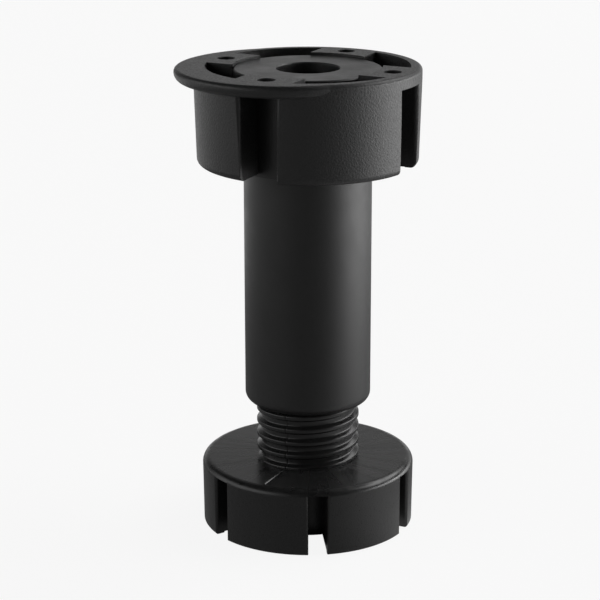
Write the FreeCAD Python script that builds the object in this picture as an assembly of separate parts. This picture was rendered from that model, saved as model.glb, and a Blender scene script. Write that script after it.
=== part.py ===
import FreeCAD, Part
import math
import os

# Plastic adjustable furniture leg, in millimetres. A socket is screwed under the cabinet, the head of a
# leg tube is pushed into it from below, and a foot with a threaded stud screws into the tube.
# The leg's axis is Z, the floor is at Z = 0 and the socket's lip points to -X.

# Foot
foot_height = 17.25
foot_top_r = 27.2
foot_bottom_r = 27.0
foot_rim_round = 1.9
foot_floor_edge = 0.3
foot_web = 1.5
foot_wall = 2.4
foot_hub_r = 14.1
foot_slots = 6
foot_slot_width = 4.7
foot_slot_turn = 16.0
foot_slot_round = 0.9
foot_rib = 1.5
foot_rib_lift = 0.3
foot_hub_wall = 2.4

# Threaded stud of the foot and the nut inside the tube
stud_r = 13.1
stud_height = 41.35
stud_wall = 2.3
stud_cap = 2.0
stud_chamfer = 1.0
thread_pitch = 3.4
thread_depth = 1.2
thread_crest = 1.0
thread_flank = 24.6
thread_turn = 250.6
thread_level = 20.8
thread_clearance = 0.2
nut_length = 17.0
nut_chamfer = 0.6

# Raised parting line across the foot's top
seam_turn = 225.0
seam_r = 24.0
seam_width = 0.4

# Height of thread that shows between foot and tube
shown_thread = 15.15

# Leg tube
tube_length = 61.2
tube_r = 16.0
tube_end_round = 2.3
bore_clearance = 0.5
head_height = 24.2
head_r = 18.4
head_wall_top = 2.5
head_edge = 0.3
head_hole_r = 7.85
head_hole_edge = 0.25
head_mark_turn = 292.5

# Mounting socket
head_recess = 0.7
head_fit = 0.08
head_lead = 0.4
socket_height = 24.25
plate_thickness = 3.2
plate_r = 28.1
plate_top_round = 1.0
lip_r = 27.8
lip_reach = 5.3
lip_under_round = 2.1
skirt_draft = 0.6
skirt_wall = 2.9
skirt_end_round = 1.6
lug_count = 4
lug_turn = 45.0
screw_spacing = 32.0
screw_hole_r = 2.25
window_mark_turn = 74.6
gap_width = 9.4
gap_round = 1.2
rib_thickness = 2.75
rib_lift = 0.1

# Nicks that mark a position on the head's rim and on a window's edge
mark_r = 0.4
mark_depth = 0.6

# Levels and radii that follow from the sizes above
tube_bottom = foot_height + shown_thread
step_level = tube_bottom + tube_length
head_top = step_level + head_height
plate_top = head_top + head_recess
plate_under = plate_top - plate_thickness
skirt_bottom = plate_top - socket_height
stud_top = foot_height + stud_height
stud_root_r = stud_r - thread_depth
nut_root_r = stud_r + thread_clearance
nut_crest_r = stud_root_r + thread_clearance
bore_r = stud_r + bore_clearance
head_bore_r = head_r + head_fit

# Lengths by which a cutting tool passes the face it opens, and by which a joined piece is sunk
PASS = 5.0
SINK = 0.4


def turned(corners):
    """Solid of revolution about Z from corners (radius, height, rounding)."""
    places = [(FreeCAD.Vector(r, 0, z), rounding) for r, z, rounding in corners]
    return rounded_face(places).revolve(FreeCAD.Vector(), FreeCAD.Vector(0, 0, 1), 360)


def raised(corners, low, high):
    """Prism from plan corners (x, y, rounding) between two heights."""
    places = [(FreeCAD.Vector(x, y, low), rounding) for x, y, rounding in corners]
    return rounded_face(places).extrude(FreeCAD.Vector(0, 0, high - low))


def rounded_face(places):
    """Flat face whose corners are rounded by arcs tangent to both sides."""
    edges = []
    last = None
    first = None
    for i, (here, rounding) in enumerate(places):
        back = (places[i - 1][0] - here).normalize()
        ahead = (places[(i + 1) % len(places)][0] - here).normalize()
        half = back.getAngle(ahead) / 2
        start = here + back * (rounding / math.tan(half))
        stop = here + ahead * (rounding / math.tan(half))
        if last:
            edges.append(Part.LineSegment(last, start).toShape())
        if rounding:
            bisector = (back + ahead).normalize()
            middle = here + bisector * (rounding / math.sin(half) - rounding)
            edges.append(Part.Arc(start, middle, stop).toShape())
        first = first or start
        last = stop
    edges.append(Part.LineSegment(last, first).toShape())
    return Part.Face(Part.Wire(edges))


def turn_z(shape, degrees):
    """Copy of a shape turned about the leg's axis."""
    copy = shape.copy()
    copy.rotate(FreeCAD.Vector(), FreeCAD.Vector(0, 0, 1), degrees)
    return copy


def ring_of(shape, count, first_turn):
    """Copies of a shape spaced evenly about the leg's axis."""
    return [turn_z(shape, first_turn + i * 360 / count) for i in range(count)]


def mark(radius, turn, top):
    """Small upright cutter that nicks an edge at this radius and angle."""
    return turn_z(Part.makeCylinder(mark_r, PASS + mark_depth, FreeCAD.Vector(radius, 0, top - mark_depth)), turn)


def one_solid(shape, name):
    """The single clean solid of a finished piece."""
    clean = shape.removeSplitter()
    if len(clean.Solids) != 1 or not clean.isValid():
        raise ValueError(name + " isn't one valid solid")
    return clean.Solids[0]


def thread_ridge(root_r, crest_r, crest_width, low, high):
    """Right-hand helical ridge of trapezoidal section, its foot sunk into the core, from low to high.

    Its crest passes height thread_level at the angle thread_turn, so ridges of any size stay in step.
    """
    flank_tan = math.tan(math.radians(thread_flank))
    inner_r = root_r - SINK
    crest_half = crest_width / 2
    inner_half = crest_half + (crest_r - inner_r) * flank_tan
    corners = [(inner_r, -inner_half), (crest_r, -crest_half), (crest_r, crest_half), (inner_r, inner_half)]
    points = [FreeCAD.Vector(r, 0, z) for r, z in corners]
    profile = Part.Wire(Part.makePolygon(points + points[:1]))
    turns = math.ceil((high - low) / thread_pitch) + 2
    spine = Part.Wire(Part.makeLongHelix(thread_pitch, turns * thread_pitch, crest_r).Edges)
    ridge = spine.makePipeShell([profile], True, True)
    steps_down = math.ceil((thread_level - low) / thread_pitch) + 1
    ridge = turn_z(ridge, thread_turn)
    ridge.translate(FreeCAD.Vector(0, 0, thread_level - steps_down * thread_pitch))
    return ridge


def stud_thread():
    """External thread of the stud, from inside the foot's web to the chamfered end."""
    low = foot_height - foot_web / 2
    high = stud_top - stud_chamfer
    limit = turned([
        (stud_root_r - 2 * SINK, low, 0),
        (stud_r + PASS, low, 0),
        (stud_r + PASS, high - thread_depth - PASS, 0),
        (stud_root_r, high, 0),
        (stud_root_r - 2 * SINK, high, 0),
    ])
    return thread_ridge(stud_root_r, stud_r, thread_crest, low, high).common(limit)


def channel(width, inner_r, outer_r, mouth_round, low, high):
    """Radial parallel-sided cutter along +X whose mouth flares at outer_r as two rounded edges."""
    half = width / 2
    mouth = math.sqrt(outer_r ** 2 - (half + mouth_round) ** 2)
    return raised([
        (inner_r, -half, 0),
        (mouth, -half, mouth_round),
        (mouth, -half - PASS, 0),
        (mouth + PASS, -half - PASS, 0),
        (mouth + PASS, half + PASS, 0),
        (mouth, half + PASS, 0),
        (mouth, half, mouth_round),
        (inner_r, half, 0),
    ], low, high)


def foot_cavity():
    """Ring-shaped hollow below the foot's web, less the ribs that flank each slot."""
    roof = foot_height - foot_web
    ring = turned([
        (foot_hub_r, -PASS, 0),
        (foot_bottom_r - foot_wall, -PASS, 0),
        (foot_bottom_r - foot_wall, 0, 0),
        (foot_top_r - foot_wall, roof, 0),
        (foot_hub_r, roof, 0),
    ])
    reach = foot_top_r - foot_wall / 2
    side = foot_slot_width / 2
    for edge in (-side - foot_rib, side):
        rib = Part.makeBox(reach, foot_rib, roof, FreeCAD.Vector(0, edge, foot_rib_lift))
        ring = ring.cut(ring_of(rib, foot_slots, foot_slot_turn))
    return ring


def foot_hollow():
    """Hollow of the stud, open below, widened inside the hub so that the walls stay even."""
    hollow_r = stud_root_r - stud_wall
    hub_hollow_r = foot_hub_r - foot_hub_wall
    shoulder = foot_height - foot_web - foot_hub_wall
    return turned([
        (0, -PASS, 0),
        (hub_hollow_r, -PASS, 0),
        (hub_hollow_r, shoulder, 0),
        (hollow_r, shoulder + hub_hollow_r - hollow_r, 0),
        (hollow_r, stud_top - stud_cap, 0),
        (0, stud_top - stud_cap, 0),
    ])


def seam_bead():
    """Half-round raised line left by the mould's parting plane, from the stud to seam_r on both sides."""
    bead = Part.makeCylinder(seam_width / 2, 2 * seam_r, FreeCAD.Vector(-seam_r, 0, foot_height),
                             FreeCAD.Vector(1, 0, 0))
    return turn_z(bead, seam_turn)


def screw_foot():
    """Foot with its hollow threaded stud, one moulding."""
    body = turned([
        (0, 0, 0),
        (foot_bottom_r - foot_floor_edge, 0, 0),
        (foot_bottom_r, foot_floor_edge, 0),
        (foot_top_r, foot_height, foot_rim_round),
        (stud_root_r, foot_height, 0),
        (stud_root_r, stud_top - stud_chamfer, 0),
        (stud_root_r - stud_chamfer, stud_top, 0),
        (0, stud_top, 0),
    ])
    body = body.fuse(seam_bead()).fuse(stud_thread())
    slot = channel(foot_slot_width, foot_hub_r, foot_top_r, foot_slot_round, -PASS,
                   foot_height - foot_web)
    slots = ring_of(slot, foot_slots, foot_slot_turn)
    return one_solid(body.cut(foot_cavity()).cut(slots).cut(foot_hollow()), "screw_foot")


def leg_tube():
    """Tube with its stepped head, centre hole and internal thread, one moulding."""
    body = turned([
        (0, tube_bottom, 0),
        (tube_r, tube_bottom, tube_end_round),
        (tube_r, step_level, 0),
        (head_r, step_level, 0),
        (head_r, head_top - head_edge, 0),
        (head_r - head_edge, head_top, 0),
        (0, head_top, 0),
    ])
    nut_top = tube_bottom + nut_length
    bore = turned([
        (0, tube_bottom - PASS, 0),
        (nut_crest_r + nut_chamfer + PASS, tube_bottom - PASS, 0),
        (nut_crest_r, tube_bottom + nut_chamfer, 0),
        (nut_crest_r, nut_top, 0),
        (bore_r, nut_top + bore_r - nut_crest_r, 0),
        (bore_r, head_top - head_wall_top, 0),
        (0, head_top - head_wall_top, 0),
    ])
    hole = turned([
        (0, head_top - head_wall_top - PASS, 0),
        (head_hole_r, head_top - head_wall_top - PASS, 0),
        (head_hole_r, head_top - head_hole_edge, 0),
        (head_hole_r + head_hole_edge, head_top, 0),
        (head_hole_r + head_hole_edge, head_top + PASS, 0),
        (0, head_top + PASS, 0),
    ])
    flank_gap = 2 * thread_clearance
    groove = thread_ridge(nut_crest_r, nut_root_r, thread_crest + flank_gap, tube_bottom, nut_top)
    limit = turned([
        (stud_root_r - 2 * SINK, tube_bottom - PASS, 0),
        (tube_r, tube_bottom - PASS, 0),
        (tube_r, nut_top + bore_r - nut_crest_r, 0),
        (stud_root_r - 2 * SINK, nut_top + bore_r - nut_crest_r, 0),
    ])
    body = body.cut(bore).cut(hole).cut(groove.common(limit))
    return one_solid(body.cut(mark(head_r, head_mark_turn, head_top)), "leg_tube")


def plate():
    """Round plate with its lip: two discs with rounded rims, run together."""
    disc = turned([
        (0, plate_under, 0),
        (plate_r, plate_under, 0),
        (plate_r, plate_top, plate_top_round),
        (0, plate_top, 0),
    ])
    lip = turned([
        (0, plate_under, 0),
        (lip_r, plate_under, lip_under_round),
        (lip_r, plate_top, plate_top_round),
        (0, plate_top, 0),
    ])
    lip.translate(FreeCAD.Vector(-lip_reach, 0, 0))
    return disc.fuse(lip)


def skirt(inset, low, high, end_round):
    """Tapered skirt outline as a full solid, inset from the outside by a wall."""
    slope = skirt_draft / (plate_under - skirt_bottom)
    return turned([
        (0, low, 0),
        (plate_r - inset - (plate_under - low) * slope, low, end_round),
        (plate_r - inset - (plate_under - high) * slope, high, 0),
        (0, high, 0),
    ])


def lugs():
    """Four screw lugs on the diagonals, each with two ribs down its sides."""
    half = gap_width / 2 + rib_thickness
    low = skirt_bottom + rib_lift
    block = Part.makeBox(plate_r, 2 * half, plate_top - low, FreeCAD.Vector(0, -half, low))
    blocks = ring_of(block, lug_count, lug_turn)
    return blocks[0].multiFuse(blocks[1:]).common(skirt(skirt_wall / 2, low, plate_top, 0))


def mounting_socket():
    """Socket: plate with lip, skirt, lugs and ribs, one moulding."""
    shell = plate().fuse(skirt(0, skirt_bottom, plate_under, skirt_end_round))
    body = shell.cut(skirt(skirt_wall, skirt_bottom - PASS, plate_top + PASS, 0)).fuse(lugs())
    gap = channel(gap_width, 0, plate_r, gap_round, skirt_bottom - PASS, plate_under)
    hole = Part.makeCylinder(screw_hole_r, socket_height, FreeCAD.Vector(0, 0, skirt_bottom))
    hole.translate(FreeCAD.Vector(screw_spacing / math.sqrt(2), 0, 0))
    body = body.cut(ring_of(gap, lug_count, lug_turn)).cut(ring_of(hole, lug_count, lug_turn))
    seat = turned([
        (0, skirt_bottom - PASS, 0),
        (head_bore_r + head_lead + PASS, skirt_bottom - PASS, 0),
        (head_bore_r + head_lead, skirt_bottom, 0),
        (head_bore_r, skirt_bottom + rib_lift + head_lead, 0),
        (head_bore_r, plate_top + PASS, 0),
        (0, plate_top + PASS, 0),
    ])
    window_mark = mark(plate_r - skirt_wall, window_mark_turn, plate_top)
    return one_solid(body.cut(seat).cut(window_mark), "mounting_socket")


os.makedirs("parts", exist_ok=True)
pieces = {
    "mounting_socket": mounting_socket(),
    "leg_tube": leg_tube(),
    "screw_foot": screw_foot(),
}
for name, shape in pieces.items():
    shape.exportStep("parts/" + name + ".step")
    print(name, "volume", round(shape.Volume), "box", shape.BoundBox)
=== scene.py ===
import math

import bmesh
import bpy
import numpy as np
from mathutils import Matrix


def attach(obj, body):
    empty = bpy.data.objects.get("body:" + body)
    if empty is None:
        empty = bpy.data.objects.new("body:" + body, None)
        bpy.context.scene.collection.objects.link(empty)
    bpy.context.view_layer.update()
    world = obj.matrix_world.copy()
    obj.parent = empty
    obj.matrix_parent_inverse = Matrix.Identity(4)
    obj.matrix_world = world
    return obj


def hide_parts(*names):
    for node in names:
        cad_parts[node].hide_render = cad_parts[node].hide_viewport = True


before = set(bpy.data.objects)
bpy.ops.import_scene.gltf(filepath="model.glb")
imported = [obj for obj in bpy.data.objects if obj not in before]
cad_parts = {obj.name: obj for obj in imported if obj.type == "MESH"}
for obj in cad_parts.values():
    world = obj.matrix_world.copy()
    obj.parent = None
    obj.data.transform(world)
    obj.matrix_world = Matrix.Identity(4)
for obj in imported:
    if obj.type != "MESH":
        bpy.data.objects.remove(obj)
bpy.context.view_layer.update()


# Screw foot
# The round foot and its hollow threaded stud are one black plastic moulding. The stud screws into the leg
# tube with a coarse, rounded right-hand thread. The mould's parting plane left a fine groove down both sides
# of the stud and a raised line on both sides of the foot's top.

THREAD_PITCH = 0.0034
THREAD_ROOT = 0.0119
THREAD_CREST = 0.0131
THREAD_CREST_WIDTH = 0.0010
THREAD_FLANK = math.radians(24.6)
THREAD_ROUNDING = 0.00034
THREAD_TURN = math.radians(250.6)
THREAD_LEVEL = 0.0208
SPARE_TURNS = 2
STUD_END = 0.0586
STUD_END_R = 0.0109
FOOT_TOP = 0.01725
TOP_FLAT_R = 0.0253
STUD_SUNK = 0.0005
STUD_SUNK_R = 0.0115
REMADE_FROM_R = 0.0105
SAME_POINT = 1e-6

SEAM_TURN = math.radians(225.0)
SEAM_DEPTH = 0.00014
SEAM_WIDTH = 0.00014
SEAM_COLUMNS = (-2.4, -1.4, -0.7, 0, 0.7, 1.4, 2.4)
SEAM_CLEARANCE = 1.3
BEAD_START = 0.0112
BEAD_END = 0.025
BEAD_WIDTH = 0.00046
BEAD_HEIGHT = 0.00042
BEAD_RIDGE_POWER = 1.3
BEAD_TIP_POWER = 24
BEAD_LOW = 0.28
BEAD_RAMP = (0.0138, 0.0152)

FOOT_BLACK = (0.020, 0.020, 0.020)
TOP_RAMP = (0.0152, 0.0170)
STUD_RAMP = (0.01755, 0.0177)
SKIRT_GRAIN = 3200
STUD_GRAIN = 900
STREAK_COUNT = 46
STREAK_LENGTH = 0.035
STREAK_DETAIL = 0.4
SKIRT_RELIEF = (0.32, 0.68)
TOP_RELIEF = (0.4, 0.6)
STUD_RELIEF = (0.46, 0.54)
SKIRT_ROUGHNESS = (0.27, 0.36)
TOP_ROUGHNESS = (0.20, 0.36)
STUD_ROUGHNESS = (0.19, 0.23)
FOOT_RELIEF_DEPTH = 0.00004
FOOT_EDGE_RADIUS = 0.00005

PLASTIC_IOR = 1.5
NOISE_RANGE = (0.3, 0.7)
EDGE_SAMPLES = 6


def full_turn(columns):
    """Angles spread evenly over a whole turn, without its end."""
    return np.arange(columns) / columns * 2 * math.pi


def within_half_turn(angle):
    """The same angle, between minus and plus half a turn."""
    return (angle + math.pi) % (2 * math.pi) - math.pi


def ring_quads(rows, columns):
    """Quads between the rows of a grid of points whose last column meets the first."""
    index = np.arange(rows * columns).reshape(rows, columns)
    ahead = np.roll(index, -1, axis=1)
    return np.stack([index[:-1], index[1:], ahead[1:], ahead[:-1]], axis=-1).reshape(-1, 4)


def rounded_rows(corners, rounding, steps):
    """Rows (radius, height) along a line of corners whose inner corners are arcs of one radius.

    Each arc is tangent to both sides: its points are centre + radius * (cos, sin) swept evenly between the
    two points of tangency.
    """
    corners = np.asarray(corners)
    rows = [corners[:1]]
    for before, here, after in zip(corners[:-2], corners[1:-1], corners[2:]):
        back = (before - here) / np.linalg.norm(before - here)
        ahead = (after - here) / np.linalg.norm(after - here)
        half = math.acos(float(back @ ahead)) / 2
        reach = rounding / math.tan(half)
        middle = here + (back + ahead) / np.linalg.norm(back + ahead) * rounding / math.sin(half)
        start = here + back * reach - middle
        stop = here + ahead * reach - middle
        first = math.atan2(start[1], start[0])
        sweep = within_half_turn(math.atan2(stop[1], stop[0]) - first)
        angles = first + sweep * np.linspace(0, 1, steps + 1)
        rows.append(middle + rounding * np.stack([np.cos(angles), np.sin(angles)], axis=1))
    rows.append(corners[-1:])
    return np.concatenate(rows)


def stud_surface(columns=176, arc_steps=4):
    """Outside of the threaded stud as (vertices, quads).

    The grid runs round the stud and along one thread profile repeated up it. A point at angle a in row k is
    at height start + pitch * a / full turn + row height(k), so each row is a helix, and the last column meets
    the first one a whole pitch higher. Its radius is the profile's, but at most the 45 degree cone of the
    stud's end, and less in a narrow groove on the two lines of the mould's parting plane, where the columns
    are closer. Rows above the end run in to the middle of the end's flat, and rows below the foot's top end
    inside its material.
    """
    half_crest = THREAD_CREST_WIDTH / 2
    half_root = half_crest + (THREAD_CREST - THREAD_ROOT) * math.tan(THREAD_FLANK)
    profile = rounded_rows([
        (THREAD_ROOT, -THREAD_PITCH / 2),
        (THREAD_ROOT, -half_root),
        (THREAD_CREST, -half_crest),
        (THREAD_CREST, half_crest),
        (THREAD_ROOT, half_root),
        (THREAD_ROOT, THREAD_PITCH / 2),
    ], THREAD_ROUNDING, arc_steps)[:-1]
    per_pitch = len(profile)
    even = full_turn(columns)
    seams = np.array([SEAM_TURN, SEAM_TURN - math.pi])
    across = np.array(SEAM_COLUMNS) * SEAM_WIDTH / THREAD_CREST
    clear = np.abs(within_half_turn(even[:, None] - seams)).min(axis=1) > SEAM_CLEARANCE * across[-1]
    angles = np.sort(np.concatenate([even[clear], np.add.outer(seams, across).ravel()]))
    centre_at_zero = THREAD_LEVEL - THREAD_PITCH * THREAD_TURN / (2 * math.pi)
    below = math.ceil((centre_at_zero - FOOT_TOP) / THREAD_PITCH) + SPARE_TURNS
    turns = below + math.ceil((STUD_END - centre_at_zero) / THREAD_PITCH) + SPARE_TURNS
    turn_start = (np.arange(turns) - below) * THREAD_PITCH
    row_radius = np.tile(profile[:, 0], turns)
    row_height = np.add.outer(turn_start, profile[:, 1]).ravel() + centre_at_zero
    height = row_height[None, :] + THREAD_PITCH * angles[:, None] / (2 * math.pi)
    radius = np.broadcast_to(row_radius, height.shape).copy()
    for seam in seams:
        away = within_half_turn(angles - seam)
        radius -= SEAM_DEPTH * np.exp(-(away * THREAD_CREST / SEAM_WIDTH) ** 2)[:, None]
    radius = np.minimum(radius, STUD_END_R + STUD_END - height)
    over = np.clip((height - STUD_END) / THREAD_PITCH, 0, 1)
    radius = np.where(height > STUD_END, STUD_END_R * (1 - over), radius)
    sunk = height < FOOT_TOP - STUD_SUNK
    sunk[:, :-1] &= sunk[:, 1:]
    radius = np.where(sunk, STUD_SUNK_R, radius)
    height = np.clip(height, FOOT_TOP - STUD_SUNK, STUD_END)
    points = np.stack([radius * np.cos(angles)[:, None], radius * np.sin(angles)[:, None], height], axis=-1)
    index = np.arange(points.shape[0] * points.shape[1]).reshape(points.shape[:2])
    between = np.stack([index[:-1, :-1], index[1:, :-1], index[1:, 1:], index[:-1, 1:]], axis=-1)
    wrapped = index[0, per_pitch:]
    last = index[-1, :len(wrapped)]
    closing = np.stack([last[:-1], wrapped[:-1], wrapped[1:], last[1:]], axis=-1)
    return points.reshape(-1, 3), np.concatenate([between.reshape(-1, 4), closing])


def flat_top(columns=240):
    """Flat of the foot's top as (vertices, quads): a ring from inside the stud to TOP_FLAT_R."""
    angles = full_turn(columns)
    radius = np.array([STUD_SUNK_R, TOP_FLAT_R])[:, None]
    level = FOOT_TOP + 0 * radius * angles
    points = np.stack([radius * np.cos(angles), radius * np.sin(angles), level], axis=-1)
    return points.reshape(-1, 3), ring_quads(2, columns)


def bead_surface(turn, rows=48, columns=16):
    """Raised line across the foot's top as (vertices, quads): a narrow ridged bar sunk in it to the middle.

    Row k is a closed section at distance BEAD_START to BEAD_END from the axis, in the direction turn: s goes
    from -1 to 1 across it, and its height is BEAD_HEIGHT * (1 - |s| ** BEAD_RIDGE_POWER) above the top and as
    much below. The section is scaled by sqrt(1 - t ** BEAD_TIP_POWER), with t from -1 to 1 along the bar, so
    both ends close. The height is BEAD_LOW of the full one up to the start of BEAD_RAMP, where the tube's end
    can come down on it, and the full one from the end of the ramp.
    """
    t = np.sin(np.linspace(-math.pi / 2, math.pi / 2, rows))[:, None]
    distance = (BEAD_START + BEAD_END) / 2 + (BEAD_END - BEAD_START) / 2 * t
    scale = np.sqrt(1 - t ** BEAD_TIP_POWER)
    risen = np.clip((distance - BEAD_RAMP[0]) / (BEAD_RAMP[1] - BEAD_RAMP[0]), 0, 1)
    low = BEAD_LOW + (1 - BEAD_LOW) * risen
    s = np.cos(full_turn(columns))
    side = np.where(np.arange(columns) < columns / 2, 1, -1)
    sideways = BEAD_WIDTH / 2 * scale * s
    points = np.stack([
        distance * math.cos(turn) - sideways * math.sin(turn),
        distance * math.sin(turn) + sideways * math.cos(turn),
        FOOT_TOP + BEAD_HEIGHT * low * scale * side * (1 - np.abs(s) ** BEAD_RIDGE_POWER),
    ], axis=-1)
    return points.reshape(-1, 3), ring_quads(rows, columns)


def merged_copy(node):
    """A CAD node's mesh as a bmesh with its loose triangles joined."""
    body = bmesh.new()
    body.from_mesh(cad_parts[node].data)
    bmesh.ops.remove_doubles(body, verts=body.verts, dist=SAME_POINT)
    return body


def add_surface(body, points, quads):
    """Adds a surface to a bmesh, with its points that fall together joined and its empty faces taken out."""
    mesh = bpy.data.meshes.new("surface")
    mesh.from_pydata(points.tolist(), [], quads.tolist())
    surface = bmesh.new()
    surface.from_mesh(mesh)
    bmesh.ops.remove_doubles(surface, verts=surface.verts, dist=2 * SAME_POINT)
    bmesh.ops.dissolve_degenerate(surface, edges=surface.edges, dist=SAME_POINT)
    surface.to_mesh(mesh)
    surface.free()
    body.from_mesh(mesh)
    bpy.data.meshes.remove(mesh)


def finished_piece(name, body, smooth_angle=30):
    """A new object from a bmesh, smooth but for edges sharper than the given angle in degrees."""
    mesh = bpy.data.meshes.new(name)
    body.to_mesh(mesh)
    body.free()
    for layer in ("custom_normal", "sharp_face"):
        if layer in mesh.attributes:
            mesh.attributes.remove(mesh.attributes[layer])
    mesh.materials.clear()
    mesh.shade_smooth()
    mesh.set_sharp_from_angle(angle=math.radians(smooth_angle))
    piece = bpy.data.objects.new(name, mesh)
    bpy.context.scene.collection.objects.link(piece)
    return piece


# Over its top the foot keeps only the stud's hollow. The flat, the raised line and the stud's outside and end
# are made anew.
foot_body = merged_copy("screw_foot")
middles = [(face, face.calc_center_median()) for face in foot_body.faces]
over_top = [pair for pair in middles if pair[1].z > FOOT_TOP - SAME_POINT]
remade = [face for face, middle in over_top if middle.xy.length > REMADE_FROM_R]
end_faces = [face for face, middle in over_top if middle.z > STUD_END - SAME_POINT]
bmesh.ops.delete(foot_body, geom=list(set(remade + end_faces)), context="FACES")
add_surface(foot_body, *stud_surface())
add_surface(foot_body, *flat_top())
add_surface(foot_body, *bead_surface(SEAM_TURN))
add_surface(foot_body, *bead_surface(SEAM_TURN - math.pi))
screw_foot = finished_piece("foot_moulding", foot_body)
even_shading = screw_foot.modifiers.new("even_shading", "WEIGHTED_NORMAL")
even_shading.keep_sharp = True


def plastic(name, colour):
    """Plastic of one colour as (material, nodes, links, shader, coordinates), with no grain or gloss yet."""
    material = bpy.data.materials.new(name)
    material.use_nodes = True
    nodes = material.node_tree.nodes
    links = material.node_tree.links
    shader = nodes["Principled BSDF"]
    shader.inputs["Base Color"].default_value = (*colour, 1)
    shader.inputs["IOR"].default_value = PLASTIC_IOR
    place = nodes.new("ShaderNodeTexCoord").outputs["Object"]
    return material, nodes, links, shader, place


def speckle(nodes, links, place, scale, detail=2.0):
    """Noise value over the object's own coordinates, with cells of about 1 / scale metres."""
    noise = nodes.new("ShaderNodeTexNoise")
    noise.inputs["Scale"].default_value = scale
    noise.inputs["Detail"].default_value = detail
    links.new(place, noise.inputs["Vector"])
    return noise.outputs["Fac"]


def spread(nodes, links, value, low, high):
    """Maps a noise value from its usual NOISE_RANGE onto low to high."""
    mapped = nodes.new("ShaderNodeMapRange")
    mapped.clamp = False
    mapped.inputs["From Min"].default_value = NOISE_RANGE[0]
    mapped.inputs["From Max"].default_value = NOISE_RANGE[1]
    mapped.inputs["To Min"].default_value = low
    mapped.inputs["To Max"].default_value = high
    links.new(value, mapped.inputs["Value"])
    return mapped.outputs["Result"]


def rounded_grain(nodes, links, shader, height, depth, edge_radius):
    """Bump of the given depth over normals that are rounded at the edges."""
    rounding = nodes.new("ShaderNodeBevel")
    rounding.samples = EDGE_SAMPLES
    rounding.inputs["Radius"].default_value = edge_radius
    bump = nodes.new("ShaderNodeBump")
    bump.inputs["Distance"].default_value = depth
    links.new(rounding.outputs["Normal"], bump.inputs["Normal"])
    links.new(height, bump.inputs["Height"])
    links.new(bump.outputs["Normal"], shader.inputs["Normal"])


def radial_streaks(nodes, links, place, count, stretch):
    """Noise that runs out from the Z axis: about count cells round it, each stretch metres long."""
    flat = nodes.new("ShaderNodeVectorMath")
    flat.operation = "MULTIPLY"
    flat.inputs[1].default_value = (1, 1, 0)
    links.new(place, flat.inputs[0])
    direction = nodes.new("ShaderNodeVectorMath")
    direction.operation = "NORMALIZE"
    links.new(flat.outputs["Vector"], direction.inputs[0])
    fanned = nodes.new("ShaderNodeVectorMath")
    fanned.operation = "SCALE"
    fanned.inputs["Scale"].default_value = count / math.tau
    links.new(direction.outputs["Vector"], fanned.inputs[0])
    drawn = nodes.new("ShaderNodeVectorMath")
    drawn.operation = "MULTIPLY_ADD"
    drawn.inputs[1].default_value = (1 / stretch, 1 / stretch, 0)
    links.new(place, drawn.inputs[0])
    links.new(fanned.outputs["Vector"], drawn.inputs[2])
    return speckle(nodes, links, drawn.outputs["Vector"], 1.0, STREAK_DETAIL)


def height_ramp(nodes, links, place, low, high):
    """0 below one height and 1 above another, with a straight ramp between them."""
    apart = nodes.new("ShaderNodeSeparateXYZ")
    links.new(place, apart.inputs[0])
    ramp = nodes.new("ShaderNodeMapRange")
    ramp.inputs["From Min"].default_value = low
    ramp.inputs["From Max"].default_value = high
    links.new(apart.outputs["Z"], ramp.inputs["Value"])
    return ramp.outputs["Result"]


def blended(nodes, links, factor, first, second):
    """First value where factor is 0, second where it is 1."""
    mix = nodes.new("ShaderNodeMix")
    links.new(factor, mix.inputs["Factor"])
    links.new(first, mix.inputs["A"])
    links.new(second, mix.inputs["B"])
    return mix.outputs["Result"]


foot_plastic, nodes, links, shader, place = plastic("foot_plastic", FOOT_BLACK)
on_top = height_ramp(nodes, links, place, *TOP_RAMP)
on_stud = height_ramp(nodes, links, place, *STUD_RAMP)
streaks = radial_streaks(nodes, links, place, STREAK_COUNT, STREAK_LENGTH)
grain = speckle(nodes, links, place, SKIRT_GRAIN)
faint = spread(nodes, links, speckle(nodes, links, place, STUD_GRAIN), *STUD_RELIEF)
skirt_relief = spread(nodes, links, grain, *SKIRT_RELIEF)
top_relief = spread(nodes, links, streaks, *TOP_RELIEF)
relief = blended(nodes, links, on_top, skirt_relief, top_relief)
relief = blended(nodes, links, on_stud, relief, faint)
skirt_roughness = spread(nodes, links, grain, *SKIRT_ROUGHNESS)
top_roughness = spread(nodes, links, streaks, *TOP_ROUGHNESS)
roughness = blended(nodes, links, on_top, skirt_roughness, top_roughness)
roughness = blended(nodes, links, on_stud, roughness, spread(nodes, links, faint, *STUD_ROUGHNESS))
links.new(roughness, shader.inputs["Roughness"])
rounded_grain(nodes, links, shader, relief, FOOT_RELIEF_DEPTH, FOOT_EDGE_RADIUS)
screw_foot.data.materials.append(foot_plastic)

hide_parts("screw_foot")
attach(screw_foot, "foot")


# Leg tube
# The tube is one black plastic moulding with a wider head, smooth and satin outside. The foot's stud screws
# into its lower end, and its head is pushed up into the socket.

TUBE_BLACK = (0.020, 0.020, 0.020)
TUBE_GRAIN = 5200
TUBE_GRAIN_DEPTH = 0.000012
TUBE_CLOUDS = 200
TUBE_ROUGHNESS = (0.34, 0.42)
TUBE_EDGE_RADIUS = 0.00025


def give_material(node, material):
    """Puts a material on every material slot of a CAD node's object."""
    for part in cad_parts[node].material_slots:
        part.material = material


tube_plastic, nodes, links, shader, place = plastic("tube_plastic", TUBE_BLACK)
grain = speckle(nodes, links, place, TUBE_GRAIN)
roughness = spread(nodes, links, speckle(nodes, links, place, TUBE_CLOUDS), *TUBE_ROUGHNESS)
links.new(roughness, shader.inputs["Roughness"])
rounded_grain(nodes, links, shader, grain, TUBE_GRAIN_DEPTH, TUBE_EDGE_RADIUS)
give_material("leg_tube", tube_plastic)


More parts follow.
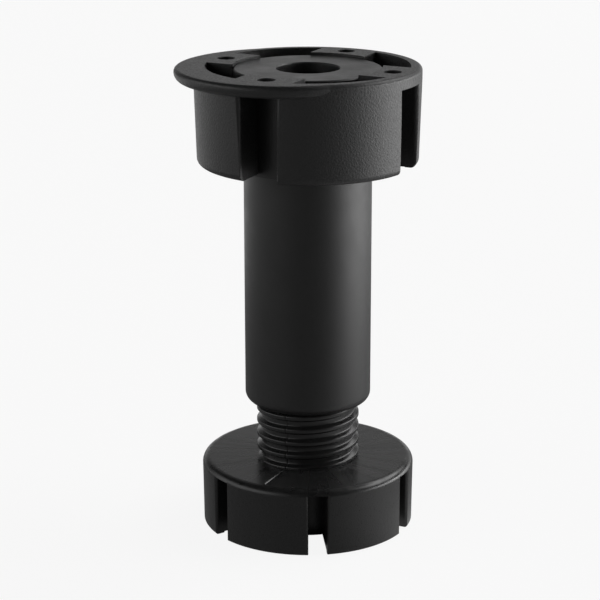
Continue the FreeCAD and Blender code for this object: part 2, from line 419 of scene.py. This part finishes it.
# Mounting socket
# The socket is one black plastic moulding with a spark-eroded grain all over. It is screwed under the
# cabinet through its four lugs, and holds the tube's head in a push fit.

SOCKET_BLACK = (0.022, 0.022, 0.022)
SOCKET_GRAIN = 2100
SOCKET_GRAIN_DETAIL = 1.5
SOCKET_GRAIN_DEPTH = 0.00008
SOCKET_GLINTS = 2400
SOCKET_ROUGHNESS = (0.34, 0.50)
SOCKET_EDGE_RADIUS = 0.00015

socket_plastic, nodes, links, shader, place = plastic("socket_plastic", SOCKET_BLACK)
grain = speckle(nodes, links, place, SOCKET_GRAIN, SOCKET_GRAIN_DETAIL)
roughness = spread(nodes, links, speckle(nodes, links, place, SOCKET_GLINTS), *SOCKET_ROUGHNESS)
links.new(roughness, shader.inputs["Roughness"])
rounded_grain(nodes, links, shader, grain, SOCKET_GRAIN_DEPTH, SOCKET_EDGE_RADIUS)
give_material("mounting_socket", socket_plastic)


# Floor and light
# The floor and background are white to the camera. The plastic reflects something darker: a grey card below
# it that brightens to the right, and a round screen lit low and high on the right, softly on the left and at
# the back, and not at all round the camera.

# An arc is the middle, width and power of a swell. A reach is the low, high and blur of a band. Angles are in
# degrees, to the right of the camera's side or upwards.
PHOTO_AZIMUTH = math.radians(-19.4)
SHEET_STEP = 5
CARD_LEVEL = -0.0003
CARD_RINGS = (0.02, 0.06, 0.09, 0.11, 0.15, 0.2, 0.23, 0.27, 0.4, 0.8, 1.5, 2.9)
CARD_GREY = 0.17
CARD_NEAR_REACH = (-1, 0.1, 0.02)
CARD_NEAR_ARC = (65, 35, 2)
CARD_NEAR_LIGHT = 0.45
CARD_RIGHT_ARC = (90, 32, 2)
CARD_MIDDLE_LIGHT = 0.66
CARD_FAR_REACH = (0.25, 9, 0.04)
CARD_FAR_LIGHT = 3.6
CARD_BACK_ARC = (215, 60, 2)
CARD_BACK_LIGHT = 0.57

SCREEN_DISTANCE = 3
SCREEN_RINGS = (0, 4, 8, 11, 13, 18, 25, 29, 31, 38, 46, 53, 57, 70, 89)
STRIP_LIGHT = 6.4
STRIP_ARC = (100, 32, 3)
STRIP_REACH = (-1, 12, 2)
BOX_LIGHT = 3.8
BOX_ARC = (112, 38, 4)
BOX_REACH = (30, 55, 4)
LEFT_LIGHT = 1.36
LEFT_ARC = (285, 45, 4)
LEFT_REACH = (-1, 30, 4)
BACK_LIGHT = 0.27
BACK_ARC = (175, 35, 3)
BACK_REACH = (-1, 55, 4)
BACK_STRIP_LIGHT = 0.75
BACK_STRIP_REACH = (-1, 12, 6)

FLOOR_HALF = 4
FLOOR_WHITE = (0.9, 0.9, 0.9)
FLOOR_GLOW_SHARE = 0.9


def around(azimuth, distance, height):
    """Points at this distance and height, at an angle in degrees to the right of the camera's side."""
    turn = PHOTO_AZIMUTH + np.radians(azimuth)
    return np.stack([np.sin(turn) * distance, -np.cos(turn) * distance, height + 0 * turn], axis=-1)


def swell(azimuth, middle, width, power):
    """exp(-|degrees from the middle / width| ** power): 1 in the middle of an arc, 1/e at its width."""
    away = (azimuth - middle + 180) % 360 - 180
    return np.exp(-np.abs(away / width) ** power)


def band(value, low, high, blur):
    """1 between two values and 0 outside them, with straight ramps of the given width at both."""
    return np.clip((value - low) / blur + 0.5, 0, 1) * np.clip((high - value) / blur + 0.5, 0, 1)


def card_light(azimuth, distance):
    """Brightness of the card: grey, a little more to the right near the object and much more far from it."""
    near = band(distance, *CARD_NEAR_REACH)
    far = band(distance, *CARD_FAR_REACH)
    right = swell(azimuth, *CARD_RIGHT_ARC)
    beside = CARD_NEAR_LIGHT * near * swell(azimuth, *CARD_NEAR_ARC)
    nearby = beside + CARD_MIDDLE_LIGHT * (1 - near) * (1 - far) * right
    far_off = far * (CARD_FAR_LIGHT * right + CARD_BACK_LIGHT * swell(azimuth, *CARD_BACK_ARC))
    return CARD_GREY + nearby + far_off


def screen_light(azimuth, elevation):
    """Brightness of the screen: strip light low on the right, soft box above it, weak glow left and back."""
    strip = STRIP_LIGHT * swell(azimuth, *STRIP_ARC) * band(elevation, *STRIP_REACH)
    box = BOX_LIGHT * swell(azimuth, *BOX_ARC) * band(elevation, *BOX_REACH)
    left = LEFT_LIGHT * swell(azimuth, *LEFT_ARC) * band(elevation, *LEFT_REACH)
    back_strip = BACK_STRIP_LIGHT * band(elevation, *BACK_STRIP_REACH)
    back = swell(azimuth, *BACK_ARC) * (BACK_LIGHT + back_strip) * band(elevation, *BACK_REACH)
    return strip + box + left + back


def glowing_sheet(name, points, level):
    """Adds a sheet closed round the object, unseen by the camera, that glows as bright as level."""
    mesh = bpy.data.meshes.new(name)
    mesh.from_pydata(points.reshape(-1, 3).tolist(), [], ring_quads(*level.shape).tolist())
    brightness = mesh.attributes.new("brightness", "FLOAT", "POINT")
    brightness.data.foreach_set("value", level.ravel().astype(np.float32))
    material = bpy.data.materials.new(name)
    material.use_nodes = True
    nodes = material.node_tree.nodes
    links = material.node_tree.links
    nodes.clear()
    reading = nodes.new("ShaderNodeAttribute")
    reading.attribute_name = "brightness"
    glow = nodes.new("ShaderNodeEmission")
    links.new(reading.outputs["Fac"], glow.inputs["Strength"])
    output = nodes.new("ShaderNodeOutputMaterial")
    links.new(glow.outputs["Emission"], output.inputs["Surface"])
    mesh.materials.append(material)
    sheet = bpy.data.objects.new(name, mesh)
    sheet.visible_camera = False
    bpy.context.scene.collection.objects.link(sheet)


azimuths = np.arange(0, 360, SHEET_STEP)
turns, distances = np.meshgrid(azimuths, CARD_RINGS)
glowing_sheet("card", around(turns, distances, CARD_LEVEL), card_light(turns, distances))
turns, elevations = np.meshgrid(azimuths, SCREEN_RINGS)
upward = np.radians(elevations)
dome = around(turns, SCREEN_DISTANCE * np.cos(upward), SCREEN_DISTANCE * np.sin(upward))
glowing_sheet("screen", dome, screen_light(turns, elevations))

world = bpy.data.worlds.new("white_room")
bpy.context.scene.world = world
world.use_nodes = True
nodes = world.node_tree.nodes
path = nodes.new("ShaderNodeLightPath")
world.node_tree.links.new(path.outputs["Is Camera Ray"], nodes["Background"].inputs["Strength"])
nodes["Background"].inputs["Color"].default_value = (1, 1, 1, 1)

floor_corners = [
    (-FLOOR_HALF, -FLOOR_HALF, 0),
    (FLOOR_HALF, -FLOOR_HALF, 0),
    (FLOOR_HALF, FLOOR_HALF, 0),
    (-FLOOR_HALF, FLOOR_HALF, 0),
]
floor_mesh = bpy.data.meshes.new("floor")
floor_mesh.from_pydata(floor_corners, [], [(0, 1, 2, 3)])
floor = bpy.data.objects.new("floor", floor_mesh)
floor.visible_glossy = False
floor.visible_diffuse = False
floor.visible_shadow = False
bpy.context.scene.collection.objects.link(floor)
floor_white = bpy.data.materials.new("floor_white")
floor_white.use_nodes = True
nodes = floor_white.node_tree.nodes
links = floor_white.node_tree.links
nodes.clear()
matt = nodes.new("ShaderNodeBsdfDiffuse")
matt.inputs["Color"].default_value = (*FLOOR_WHITE, 1)
glow = nodes.new("ShaderNodeEmission")
mix = nodes.new("ShaderNodeMixShader")
mix.inputs["Fac"].default_value = FLOOR_GLOW_SHARE
links.new(matt.outputs["BSDF"], mix.inputs[1])
links.new(glow.outputs["Emission"], mix.inputs[2])
output = nodes.new("ShaderNodeOutputMaterial")
links.new(mix.outputs["Shader"], output.inputs["Surface"])
floor_mesh.materials.append(floor_white)


# Camera
# It stands where the photograph was taken from, about half a metre from the leg's middle, and looks 16.6
# degrees down at it through the same long lens.

PHOTO_PIXELS = 600
FOCAL_PIXELS = 2008.0
AXIS_COLUMN = 307.35
HALF_PIXEL = 0.5
SENSOR_WIDTH = 36
CAMERA_DISTANCE = 0.48782
CAMERA_HEIGHT = 0.20389
CAMERA_DOWN = 16.622

camera_data = bpy.data.cameras.new("camera")
camera_data.sensor_width = SENSOR_WIDTH
camera_data.lens = FOCAL_PIXELS / PHOTO_PIXELS * SENSOR_WIDTH
camera_data.shift_x = -(AXIS_COLUMN + HALF_PIXEL - PHOTO_PIXELS / 2) / PHOTO_PIXELS
camera_data.shift_y = HALF_PIXEL / PHOTO_PIXELS
camera = bpy.data.objects.new("camera", camera_data)
camera.location = around(0, CAMERA_DISTANCE, CAMERA_HEIGHT).tolist()
camera.rotation_euler = (math.radians(90 - CAMERA_DOWN), 0, PHOTO_AZIMUTH)
bpy.context.scene.collection.objects.link(camera)
bpy.context.scene.camera = camera
bpy.context.scene.view_settings.view_transform = "Standard"
